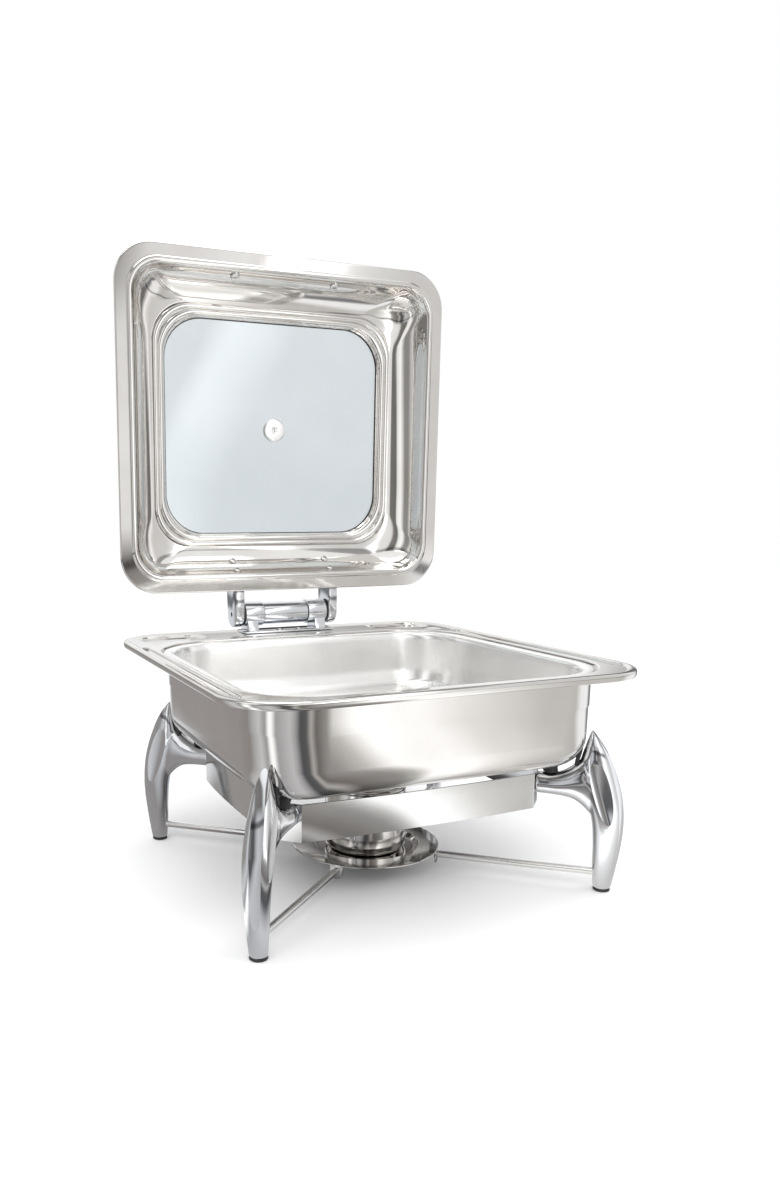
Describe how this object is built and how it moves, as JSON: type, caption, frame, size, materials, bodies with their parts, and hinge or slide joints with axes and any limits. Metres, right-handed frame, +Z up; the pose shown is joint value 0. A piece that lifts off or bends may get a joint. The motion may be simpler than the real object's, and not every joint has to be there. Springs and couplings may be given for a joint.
{
  "type": "roll top chafer",
  "caption": "Square chafing dish: glass-window lid hinged at the back, food pan in a water pan, on a four-legged stand with a fuel cup on a round tray.",
  "frame": {"origin": "centre of the bottom of the bounding box, on the table, with the lid open", "axes": "+X to the right, -Y to the front where the food is served, +Z up"},
  "size_m": [0.4008, 0.4302, 0.6289],
  "materials": {
    "mirror_steel": "mirror polished stainless steel",
    "satin_steel": "satin",
    "brushed_steel": "fine brushed",
    "cast_chrome": "bright chrome on a casting",
    "black_rubber": "matte",
    "clear_glass": "clear toughened glass"
  },
  "bodies": {
    "stand": {"apron_band": "brushed_steel", "fuel_tray": "mirror_steel", "leg_front_left": "cast_chrome", "foot_pad_front_left": "black_rubber", "branch_pad_front_left": "black_rubber", "fin_pad_front_left": "black_rubber", "leg_bolt_front_left": "mirror_steel", "stay_rod_front_left": "satin_steel", "tray_lug_front_left": "mirror_steel", "leg_front_right": "cast_chrome", "foot_pad_front_right": "black_rubber", "branch_pad_front_right": "black_rubber", "fin_pad_front_right": "black_rubber", "leg_bolt_front_right": "mirror_steel", "stay_rod_front_right": "satin_steel", "tray_lug_front_right": "mirror_steel", "leg_back_left": "cast_chrome", "foot_pad_back_left": "black_rubber", "branch_pad_back_left": "black_rubber", "fin_pad_back_left": "black_rubber", "leg_bolt_back_left": "mirror_steel", "stay_rod_back_left": "satin_steel", "tray_lug_back_left": "mirror_steel", "leg_back_right": "cast_chrome", "foot_pad_back_right": "black_rubber", "branch_pad_back_right": "black_rubber", "fin_pad_back_right": "black_rubber", "leg_bolt_back_right": "mirror_steel", "stay_rod_back_right": "satin_steel", "tray_lug_back_right": "mirror_steel"},
    "fuel_holder": {"fuel_cup": "mirror_steel", "cover_pivot": "mirror_steel"},
    "fuel_cover": {"cup_cover": "mirror_steel"},
    "water_pan_set": {"water_pan": "mirror_steel", "hinge_base": "cast_chrome", "hinge_barrel": "cast_chrome", "base_screw_left": "mirror_steel", "base_screw_right": "mirror_steel"},
    "food_pan_set": {"food_pan": "satin_steel"},
    "lid_set": {"lid_shell": "mirror_steel", "window_glass": "clear_glass", "window_gasket": "black_rubber", "vent_ferrule_inner": "satin_steel", "vent_ferrule_outer": "satin_steel", "lid_handle": "cast_chrome", "handle_screw_left": "mirror_steel", "handle_screw_right": "mirror_steel", "hinge_arm_left": "cast_chrome", "hinge_arm_right": "cast_chrome", "hinge_pin": "mirror_steel", "hinge_washer_left": "black_rubber", "hinge_washer_right": "black_rubber", "grub_screw_left": "black_rubber", "grub_screw_right": "black_rubber", "arm_rivet_left_lower": "mirror_steel", "arm_rivet_left_upper": "mirror_steel", "arm_rivet_right_lower": "mirror_steel", "arm_rivet_right_upper": "mirror_steel"}
  },
  "joints": [
    {"name": "lid_hinge", "type": "hinge", "parent": "water_pan_set", "child": "lid_set", "pos_m": [0, 0.1829, 0.2329], "axis": [-1, 0, 0], "range_deg": [-89.2, 0]},
    {"name": "water_pan_lift", "type": "slide", "parent": "stand", "child": "water_pan_set", "axis": [0, 0, 1], "range_m": [0, 0.06]},
    {"name": "food_pan_lift", "type": "slide", "parent": "water_pan_set", "child": "food_pan_set", "axis": [0, 0, 1], "range_m": [0, 0.09]},
    {"name": "fuel_cup_lift", "type": "slide", "parent": "stand", "child": "fuel_holder", "axis": [0, 0, 1], "range_m": [0, 0.02]},
    {"name": "cover_swing", "type": "hinge", "parent": "fuel_holder", "child": "fuel_cover", "pos_m": [0, 0.0131, 0.0817], "axis": [0, 0, 1], "range_deg": [0, 110]}
  ]
}
